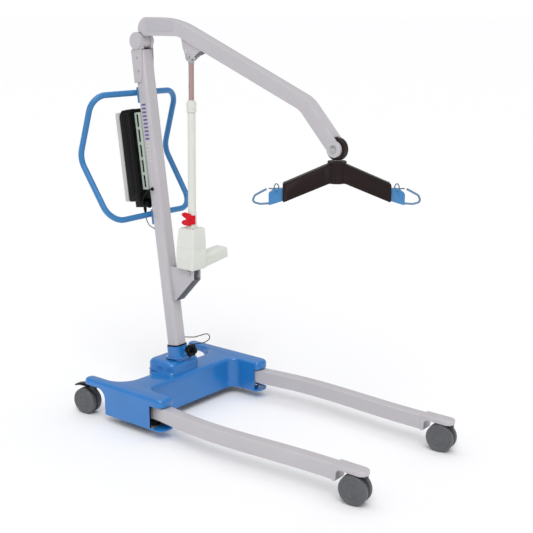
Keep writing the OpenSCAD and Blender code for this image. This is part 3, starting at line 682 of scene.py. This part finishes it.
def ram_bracket():
    outline = [(424, 557), (293, 557), (293, 521), (381, 429), (409, 429)]
    parts = []
    for s in (-1, 1):
        side = plate(outline, s * 18 - 2, s * 18 + 2)
        mast_room = moved(block((-40, -MAST_D / 2 - 0.1, -1100), (40, 60, -700)), ROW.inverted() @ MAST)
        parts.append(softened(cut(side, mast_room), 1, 2, 50))
    flange = moved(softened(block((-26, -MAST_D / 2 - 4.1, -967), (26, -MAST_D / 2 - 0.1, -838)), 1.4, 3),
                   ROW.inverted() @ MAST)
    piece("ram_bracket_plates", [*parts, flange], "root", LILAC, replaces="actuator_bracket")
    # The diagonal front edge is drawn in dark chassis paint: painted shade, as it lies in shadow.
    web = softened(plate([(292.6, 519.5), (381, 427.6), (384, 430), (295.6, 522.6)], -20.2, 20.2), 0.8, 2)
    piece("ram_bracket_shaded_edge", web, "root", CHASSIS)
    low = pos("actuator_tilt") / MM
    pin = along_x(disc(8, -20.5, 20.5), 0, low.y, low.z)
    heads = [along_x(lathe([(9, 20.2), (10.2, 21), (10.2, 23), (8, 24.2), (2, 24.4)], 48), 0, low.y, low.z, s)
             for s in (-1, 1)]
    piece("bracket_pin_set", [pin, *heads], "root", STEEL, replaces="bracket_pin")


def actuator_body():
    def ring(w, d, z, y=0, r=9, x=0):
        return [(px, py, z) for px, py in rounded_rect(w, d, r, 8, x, y)]
    lower = from_rings([ring(70, 78, 15.6, 6, 6), ring(75, 84.4, 17.4, 6, 6), ring(76, 86, 20, 6, 6),
                        ring(76, 86, 93.4, 5, 6), ring(75, 84.5, 94.8, 5, 6)])
    upper = from_rings([ring(75, 84.5, 95.1, 5, 6), ring(75, 85, 96, 5, 6), ring(69, 75, 166, 2, 6),
                        ring(67, 73, 168.6, 2, 6), ring(64, 69, 170, 2, 5)])
    side = [(30, 15.6), (50, 15.6), (172, 34), (166, 74), (30, 61)]
    arm = softened(turned(prism(side, -28, 28), 90, "X"), 5, 4)
    ribs = []
    for k in range(3):
        rib = softened(block((46, -28.7, -0.9), (158 - 4 * k, -27, 0.9)), 0.5, 2)
        ribs.append(shifted(turned(rib, -8.6 + 1.8 * k, "Y"), 0, 0, 22 + 11 * k))
    piece("motor_lower_case", [softened(lower, 0.1, 1, 80), arm, *ribs], "actuator", CREAM,
          at=RAM,
          replaces="motor_cover")
    piece("motor_upper_case", upper, "actuator", CREAM, at=RAM, replaces="motor_housing")
    screws = [shifted(lathe([(3.2, 169.6), (3.2, 170.6), (2.2, 171.2)], 24), x, 2 + y) for x in (-24, 24)
              for y in (-26, 26)]
    piece("case_screws", screws, "actuator", STEEL, at=RAM)
    eye = along_x(lathe([(12.6, -15.5), (14, -14.4), (14, 14.4), (12.6, 15.5)], 64))
    stalk = softened(block((-12, -12, 0), (12, 12, 20)), 2, 3)
    piece("actuator_eye", [eye, stalk], "actuator", CHASSIS, at=RAM,
          replaces="actuator_clevis")


def actuator_tube():
    steps = 96

    def ring(r, z, flute=0.0):
        return [((r - flute * (0.5 + 0.5 * cos(8 * 2 * pi * k / steps))) * cos(2 * pi * k / steps),
                 (r - flute * (0.5 + 0.5 * cos(8 * 2 * pi * k / steps))) * sin(2 * pi * k / steps), z)
                for k in range(steps)]
    tube = from_rings([ring(12.2, 104), ring(15, 104), ring(15, 590, 0.7), ring(15, 595, 0.7),
                       ring(12.2, 596)])
    foot = lathe([(19, 170.1), (19.6, 171), (19.6, 176), (18.4, 179), (17, 180), (17, 226), (15.8, 229),
                  (15, 229.4)],
                 72)
    piece("actuator_tube_outer", [tube, foot], "actuator", CREAM, at=RAM,
          replaces="actuator_tube")
    head = lathe([(10.06, 596.1), (16.6, 596.1), (18, 597.4), (18, 606), (16.9, 607), (16.9, 610), (18, 611),
                  (18, 628), (16.4, 632.4), (13.5, 634), (13.5, 638), (12.6, 639.1), (10.06, 639.1)], 72,
                 hollow=True)
    piece("actuator_head_collar", head, "actuator", CREAM, at=RAM, replaces="actuator_head")


def release_grip():
    hook = [(-12, 182), (-12, 226), (20, 229), (32, 223), (30, 215), (15, 208), (9, 204), (22, 200),
            (32, 193),
            (32, 185), (17, 180)]
    side = softened(plate(hook, -24, -16.5), 1.6, 3, 25)
    band = lathe([(17.1, 186.4), (20.4, 186.4), (21, 187.4), (21, 219), (20.4, 220), (17.1, 220)], 72,
                 hollow=True)
    clear = block((-4, -40, 170), (40, 40, 240))
    piece("release_grip_moulding", [side, cut(band, clear)], "release_grip", RED, at=RAM,
          replaces="release_grip")


ROD_FOOT = 320    # stays above the cap of the foot sleeve when the boom is down


def actuator_rod():
    rod = lathe([(6, ROD_FOOT), (9.4, ROD_FOOT), (10, ROD_FOOT + 0.8),
                 (10, RAM_LENGTH - 12), (6, RAM_LENGTH - 12)], 72)
    piece("lift_rod", rod, "actuator_rod", CHROME, at=RAM, replaces="actuator_rod")
    eye = along_x(lathe([(8.1, -11.5), (12, -11.5), (13, -10.6), (13, 10.6), (12, 11.5), (8.1, 11.5)], 64,
                        hollow=True), 0, 0, RAM_LENGTH)
    neck = lathe([(10, RAM_LENGTH - 24), (11.4, RAM_LENGTH - 23), (11.4, RAM_LENGTH - 11),
                  (9, RAM_LENGTH - 9)])
    piece("lift_rod_end", [eye, neck], "actuator_rod", STEEL, at=RAM, replaces="rod_end")


# ---- boom ----

BOOM_W, HALF = 48, 23
SLOPES = (22.7, 48)
BEND = (-159, 1122.3)


def boom_outline():
    end_y, end_z = BOOM_END.y, BOOM_END.z
    inner = arc(*BEND, 90 - HALF, 90 + SLOPES[0], 90 + SLOPES[1], 12)
    return (arc(504, 1429, 45, 0, 90, 18) + arc(465, 1046, 427, 90, 90 + SLOPES[0], 20)
            + arc(*BEND, 90 + HALF, 90 + SLOPES[0], 90 + SLOPES[1], 14)
            + arc(end_y, end_z, HALF, 90 + SLOPES[1], 270 + SLOPES[1], 28) + list(reversed(inner))
            + [(290, 1382), (310, 1390.5), (325, 1397.5), (338, 1403), (347, 1406.2), (356, 1407.8)]
            + arc(HINGE.y, HINGE.z, 36.5, 146, 94, 14))


def boom():
    tube = softened(plate(boom_outline(), -BOOM_W / 2, BOOM_W / 2), 5, 4, 30)
    slot = along_x(disc(39.5, -12.5, 12.5, 96, 0.01), 0, BOOM_END.y, BOOM_END.z)
    cheeks = along_x(lathe([(25.6, -24.3), (27, -23), (27, 23), (25.6, 24.3)], 96), 0, BOOM_END.y, BOOM_END.z)
    fork = cut(tube, slot.copy())
    cheeks = cut(cheeks, slot)
    neck = along_x(lathe([(28.4, -15.8), (30, -14.4), (30, 14.4), (28.4, 15.8)], 96), 0, HINGE.y, HINGE.z)
    wedge = [(HINGE.y + r * cos(radians(a)), HINGE.z + r * sin(radians(a)))
             for r, angles in ((38, range(94, 149, 6)), (20, range(148, 93, -6))) for a in angles]
    web = softened(plate(wedge, -15.8, 15.8), 1, 2, 50)
    piece("boom_tube", [softened(fork, 0.8, 2, 60), cheeks, neck, web], "boom", LILAC,
          replaces="boom")
    panels = []
    for s in (-1, 1):
        outline = rounded_rect(134, 40, 14, 10, 440, 1443)
        x0, x1 = sorted((s * 24.0, s * 25.2))
        panels.append(softened(plate(outline, x0, x1), 0.7, 3))
    piece("boom_side_panels", panels, "boom", PANEL, replaces="boom_panels")


def gusset():
    top = (305, 1336)
    body = [(338, 1404), (331, 1370)] + arc(*top, 14, 15, -120, 14) + [(250, 1357), (228, 1358), (292, 1385)]
    parts = []
    for s in (-1, 1):
        side = plate(body, s * 15.3 - 1.75, s * 15.3 + 1.75)
        hole = along_x(disc(3.2, -30, 30, 24, 0.1), 0, 318, 1362)
        parts.append(softened(cut(side, hole), 0.6, 2, 50))
    # The web inside the U is in dark chassis paint: painted shade for the dark inside between the plates.
    web = softened(plate([(266, 1342), (264.6, 1345), (233, 1359), (229, 1358)], -13.4, 13.4), 0.4, 1)
    piece("boom_gusset_plates", parts, "boom", LILAC, replaces="boom_gusset")
    piece("boom_gusset_shaded_web", web, "boom", CHASSIS)
    bolts = []
    for s in (-1, 1):
        bolts.append(along_x(lathe([(7, 17.1), (8, 17.9), (8, 21.4), (6.6, 22.8), (3, 23.1)], 32), 0, *top,
                             s))
    pin = along_x(disc(8, -25, 25), 0, BOOM_END.y, BOOM_END.z)
    for s in (-1, 1):
        head = lathe([(12.4, 24.2), (13, 24.5), (13, 25.8), (11.6, 26.7), (3, 27)], 64)
        dimples = [shifted(disc(1.6, 25.6, 28, 20, 0.1), x) for x in (-5.5, 5.5)]
        bolts.append(along_x(cut(head, *dimples), 0, BOOM_END.y, BOOM_END.z, s))
    piece("boom_fastener_set", [*bolts, pin], "boom", STEEL, replaces="boom_fasteners")


# ---- hanger and spreader ----

def hanger():
    wheel = along_x(lathe([(8.1, -11.9), (30, -11.9), (35.6, -11.2), (37, -9.6), (37, 9.6), (35.6, 11.2),
                           (30, 11.9),
                           (8.1, 11.9)], 96, hollow=True), 0, BOOM_END.y, BOOM_END.z)
    stud = shifted(lathe([(6.2, 962), (7, 963), (7, 1030)], 40), 0, BOOM_END.y)
    collar = shifted(lathe([(10.5, 1021.2), (11.4, 1022), (11.4, 1025), (9, 1027)], 48), 0, BOOM_END.y)
    piece("hanger_disc", wheel, "hanger", DARK, replaces="hanger")
    piece("hanger_stud", [stud, collar], "hanger", STEEL)


def spreader():
    low, high, steps = 948, 1021, 120

    def ring(r, z, flute):
        points = []
        for k in range(steps):
            a = 2 * pi * k / steps
            groove = flute * max(0.0, cos(12 * a)) ** 3
            points.append(((r - 1.6 + groove) * cos(a), (r - 1.6 + groove) * sin(a), z))
        return points
    hub = from_rings([ring(28.5, low, 0), ring(31, low + 1.2, 0.5), ring(31.6, low + 4, 1.6),
                      ring(31.6, high - 9, 1.6),
                      ring(31.6, high - 7, 0.2), ring(33, high - 6, 0), ring(33, high - 1.4, 0),
                      ring(31.4, high, 0)])
    hub = cut(hub, disc(7.1, low - 5, high + 5), disc(15, low - 5, low + 14))
    piece("spreader_hub_moulding", softened(hub, 0.5, 1, 60), "spreader", DARK, at=BAR,
          replaces="spreader_hub")
    arms, blocks, wires = [], [], []
    for turn in (0, 180):
        outline = [(20, 950), (20, 1009), (30, 1011), (168, 951)] + arc(168, 942, 9, 66, 0, 5) \
            + arc(170, 894, 7, 0, -66, 5) + [(30, 947)]
        arm = prism([(x, z) for x, z in outline], -22, 22)
        arm = softened(turned(arm, 90, "X"), 5.5, 4, 35)
        for s in (-1, 1):
            inset = [(40, 958), (40, 996), (160, 944.5), (165, 940), (165, 904), (158, 901)]
            recess = turned(prism(inset, s * 20.6 - 0.01 if s > 0 else -30, 30 if s > 0 else -20.6), 90, "X")
            arm = cut(arm, recess)
        arms.append(turned(softened(arm, 0.5, 2, 60), turn, "Z"))
        socket = [(174, 932), (201, 930.5), (205, 929), (221.5, 916), (223, 912), (223, 879), (220, 876.4),
                  (174, 891)]
        base = softened(turned(prism(socket, -12, 12), 90, "X"), 1.8, 3, 35)
        slit = block((189, -4.5, 898), (249, 4.5, 958))
        pin_hole = shifted(turned(disc(3, -30, 30, 32, 0.1), 90, "X"), 197, 0, 922)
        blocks.append(turned(softened(cut(base, slit, pin_hole), 0.5, 2, 60), turn, "Z"))
        route = smooth_path([(214, 0, 881.5), (223, 0, 881), (250, 0, 879), (277, 0, 886), (268, 0, 908),
                             (229, 0, 929)],
                            [0, 0, 30, 10, 14, 0], 10)
        wires.append(turned(sweep(route, 3.5, 20, (0, 1, 0)), turn, "Z"))
    piece("spreader_arm_pair", arms, "spreader", DARK, at=BAR, replaces="spreader_arms")
    piece("hook_block_pair", blocks, "spreader", BLUE_PAINT, at=BAR, replaces="hook_blocks")
    piece("hook_wire_pair", wires, "spreader", BLUE_WIRE, at=BAR, replaces="hook_wires")


def latches():
    for side, turn in (("left", 0), ("right", 180)):
        pin = shifted(turned(disc(2.94, -11.5, 11.5, 32, 0.3), 90, "X"), 197, 0, 922)
        barrel = shifted(turned(disc(5.2, -3.5, 3.5, 40, 0.5), 90, "X"), 197, 0, 922)
        tongue = [(197, 925.4), (204, 927.6), (222, 928.6), (223.4, 930), (222, 932), (203, 931), (196, 927)]
        parts = [pin, barrel, softened(turned(prism(tongue, -3.4, 3.4), 90, "X"), 0.8, 2, 30)]
        thumb = smooth_path([(202, 0, 924), (205, 0, 936), (198, 0, 949.5), (189, 0, 938), (193, 0, 924)],
                            [0, 4, 4, 4, 0], 6)
        parts.append(sweep(thumb, 1.8, 16, (0, 1, 0)))
        piece("sling_latch_" + side, turned(joined(*parts), turn, "Z"), "latch_" + side,
              LATCH_STEEL,
              at=BAR, replaces="latch_" + side)


# ---- legs ----

LEG_LOW, LEG_HIGH, LEG_W = 62, 116, 46
LEG_X, LEG_END, PIVOT = 265, -541, (262, 266)
LEVER = (246, 386)


def leg_point(u):
    return (LEG_X - 3 * (1 - u) + 25 * sin(pi * u ** 0.715) ** 2, PIVOT[1] + (LEG_END - PIVOT[1]) * u)


def leg(side, s):
    rings = []
    stations = [0.012 + 0.988 * (i / 60) for i in range(61)]
    section = rounded_rect(LEG_W, LEG_HIGH - LEG_LOW, 7, 8, 0, (LEG_LOW + LEG_HIGH) / 2)
    for u in stations:
        x, y = leg_point(u)
        ax, ay = leg_point(min(u + 0.004, 1.004))
        bx, by = leg_point(u - 0.004)
        long = hypot(ax - bx, ay - by)
        across = (-(ay - by) / long, (ax - bx) / long)
        rings.append([(x + across[0] * w, y + across[1] * w, z) for w, z in section])
    parts = [from_rings(rings)]
    hub = shifted(lathe([(12.1, 61), (21, 62), (21, 116), (18, 116), (18, 117), (12.1, 117)], 64,
                        hollow=True),
                  *PIVOT)
    bush = shifted(lathe([(12.1, 36.5), (17, 36.5), (18, 37.5), (18, 61.9), (12.1, 61.9)], 64, hollow=True),
                   *PIVOT)
    reach = hypot(LEVER[0] - PIVOT[0], LEVER[1] - PIVOT[1])
    lever = softened(block((-8, 14, 66), (8, reach, 80)), 1.5, 2)
    lever = shifted(turned(lever, 7.6, "Z"), *PIVOT)
    eye = shifted(lathe([(5.1, 65.5), (10.4, 65.5), (11, 66.2), (11, 79.8), (10.4, 80.5), (5.1, 80.5)], 48,
                        hollow=True), *LEVER)
    parts += [hub, lever, eye]
    if s < 0:
        parts = [flipped(p) for p in parts]
        bush = flipped(bush)
    body = "leg_" + side
    piece(body + "_tube", parts, body, LILAC, replaces=body)
    piece(body + "_bush", bush, body, BLACK)


def leg_cap(side, s):
    body = "leg_" + side
    wide = 26
    sleeve = [(LEG_END - 0.1, 118.9), (LEG_END - 0.1, 61.2), (LEG_END - 9, 61.2), (LEG_END - 14, 66),
              (-556, 92),
              (-560, 99), (-568, 102), (-575, 102.6), (-575, 118.8)]
    block_ = softened(plate(sleeve, LEG_X - wide + 0.5, LEG_X + wide - 0.5), 3, 3, 30)
    outline = (arc(LEG_X, -662 + wide, wide, 180, 360, 28)
               + [(LEG_X + wide, LEG_END - 6), (LEG_X - wide, LEG_END - 6)])
    top = softened(prism(outline, 101.6, 118.9), 4.5, 4, 35)
    hole = shifted(disc(5.5, 90, 116.5, 32, 0.1), LEG_X, pos("castor_front_left_swivel").y / MM)
    parts = [block_, cut(top, hole)]
    if s < 0:
        parts = [flipped(p) for p in parts]
    piece(body + "_end_cap", parts, body, LILAC, replaces="leg_cap_" + side)


# ---- castors ----

def castor(end, side):
    swivel, roll = f"castor_{end}_{side}_swivel", f"wheels_{end}_{side}_roll"
    ahead = axis(roll)
    at = frame_of((pos(swivel).x, pos(swivel).y, 0), ahead, Z)
    trail, r = 30, 50
    roof = 109 if end == "rear" else 101.5
    web = ([(-13, 100.4), (-14, 84)] + arc(trail, r, 19, 195, 345, 16)
           + arc(trail, r, 51, 28, 96, 12) + [(0, 100.6)])
    parts = [softened(plate(web, -5.4, 5.4), 1.4, 3)]
    guard = [(trail + q * cos(radians(a)), r + q * sin(radians(a)))
             for q, angles in ((51.2, range(20, 111, 6)), (48, range(110, 19, -6))) for a in angles]
    parts.append(softened(plate(guard, -5.8, 5.8), 0.8, 2))
    parts.append(along_x(disc(5, -23, 23), 0, trail, r))
    parts.append(along_x(disc(17, -5.6, 5.6, 64, 1), 0, trail, r))
    parts.append(lathe([(13, 100.7), (14, 101), (14, roof - 0.4), (13.4, roof - 0.2)], 64))
    if end == "rear":
        lug = softened(block((-4.5, 12, 100), (4.5, 27, 116)), 1.5, 2)
        parts.append(lug)
    fork_node = f"castor_fork_{end}_{side}"
    piece(fork_node + "_hood", parts, f"castor_{end}_{side}", NYLON, at=at,
          replaces=fork_node)
    stem = lathe([(5.44, 92), (5.44, 131 if end == "rear" else 113), (4.6, 133 if end == "rear" else 115)],
                 40)
    piece(f"castor_{end}_{side}_stem", stem, f"castor_{end}_{side}", STEEL, at=at)

    profile = [(5.06, 0), (30, 0), (34, 2), (r - 3, 2), (r - 0.8, 3), (r, 5), (r, 13.4), (r - 0.6, 15.6),
               (r - 2.2, 17.6),
               (r - 4.5, 18.6), (r - 9, 18.8), (r - 10.4, 18.2), (r - 11.4, 16.6), (r - 12.6, 16.2),
               (26, 15.6),
               (24.6, 16.4), (22.6, 17), (21.4, 16.2), (20.4, 15.2), (14, 15.4), (11.6, 17), (9, 17.6),
               (5.06, 17.6)]
    wheels, caps = [], []
    for s in (-1, 1):
        wheels.append(along_x(lathe([(q, z + 6.2) for q, z in profile], 96, hollow=True), 0, trail, r, s))
        caps.append(along_x(lathe([(7.6, 23.2), (7.6, 24.2), (6, 24.8), (2, 25)], 40), 0, trail, r, s))
    wheel_node = f"castor_wheels_{end}_{side}"
    piece(wheel_node + "_pair", wheels, f"wheels_{end}_{side}", TREAD, at=at,
          replaces=wheel_node)
    piece(f"castor_{end}_{side}_hub_caps", caps, f"wheels_{end}_{side}", TREAD, at=at)
    if end == "rear":
        shape = [(16, 107), (15.6, 116.6), (22, 120), (40, 118), (60, 113.6), (72, 110.6), (78, 108.6),
                 (81, 105),
                 (80, 103), (76, 103), (55, 108), (30, 108)]
        pedal = plate(shape, -15, 15)
        room = block((-5, 10, 90), (5, 28, 130))
        ribs = [shifted(block((-12, 0, 0), (12, 1.6, 1.4)), 0, 52 + 5 * k, 114 - 1.3 * k) for k in range(5)]
        pedal = softened(cut(pedal, room), 1.8, 3, 30)
        pin = along_x(disc(2.5, -10, 10, 32, 0.2), 0, 20.5, 111)
        piece(f"brake_pedal_{side}_tread", [pedal, *ribs, pin], f"brake_pedal_{side}", BLACK,
              at=at,
              replaces=f"brake_pedal_{side}")


# ---- stage ----

def camera():
    lens, az, el = 70.68, radians(-50.81), radians(13.64)
    data = bpy.data.cameras.new("camera")
    data.lens = lens
    data.sensor_width = 36
    view = bpy.data.objects.new("camera", data)
    bpy.context.scene.collection.objects.link(view)
    view.location = (-2.7713, -2.3001, 1.4898)
    back = Vector((sin(az) * cos(el), -cos(az) * cos(el), sin(el)))
    right = Vector((cos(az), sin(az), 0))
    up = back.cross(right)
    view.rotation_euler = Matrix((right, up, back)).transposed().to_euler()
    bpy.context.scene.camera = view


def sun(name, heading, height, power, softness):
    """A sun that shines from the heading, in degrees from +X towards +Y, at the height above the floor."""
    data = bpy.data.lights.new(name, "SUN")
    data.energy = power
    data.angle = radians(softness)
    light = bpy.data.objects.new(name, data)
    bpy.context.scene.collection.objects.link(light)
    a, h = radians(heading), radians(height)
    towards = Vector((cos(a) * cos(h), sin(a) * cos(h), sin(h)))
    light.rotation_euler = towards.to_track_quat("Z", "Y").to_euler()


def studio():
    """A dome of light, white along the horizon and softer overhead."""
    world = bpy.data.worlds.new("studio")
    world.use_nodes = True
    nodes, links = world.node_tree.nodes, world.node_tree.links
    where = nodes.new("ShaderNodeTexCoord")
    split = nodes.new("ShaderNodeSeparateXYZ")
    ramp = nodes.new("ShaderNodeValToRGB")
    links.new(where.outputs["Generated"], split.inputs["Vector"])
    links.new(split.outputs["Z"], ramp.inputs["Fac"])
    links.new(ramp.outputs["Color"], nodes["Background"].inputs["Color"])
    stops = ramp.color_ramp.elements
    stops[0].position, stops[0].color = 0.06, (1, 1, 1, 1)
    stops[1].position, stops[1].color = 0.16, (0.40, 0.405, 0.415, 1)
    top = stops.new(0.75)
    top.color = (0.52, 0.52, 0.53, 1)
    bpy.context.scene.world = world


FLOOR_HALF = 300    # metres, so that the floor's edge fades into the horizon


def stage():
    bpy.context.scene.view_settings.view_transform = "Standard"
    studio()
    floor = finish_of("pale_floor", (250, 250, 251), rough=0.8, spread=0.002, bump=0.0)
    data = bpy.data.meshes.new("floor")
    corners = [(x * FLOOR_HALF, y * FLOOR_HALF, 0) for x, y in ((-1, -1), (1, -1), (1, 1), (-1, 1))]
    data.from_pydata(corners, [], [(0, 1, 2, 3)])
    data.materials.append(floor)
    plane = bpy.data.objects.new("floor", data)
    bpy.context.scene.collection.objects.link(plane)
    sun("key", 218, 52, 1.35, 40)
    sun("top", 60, 78, 0.75, 60)


# ---- everything ----

camera()
make_leads()
dress_cad_nodes()
base_cover()
nose_shade_strips()
tower()
mast_socket()
lock_knob()
mast()
mast_head()
handle()
control_box()
battery_pack()
stop_button()
box_bracket()
connector_block()
ram_bracket()
actuator_body()
actuator_tube()
release_grip()
actuator_rod()
boom()
gusset()
hanger()
spreader()
latches()
for name, sign in SIDES.items():
    leg(name, sign)
    leg_cap(name, sign)
    castor("front", name)
    castor("rear", name)
stage()
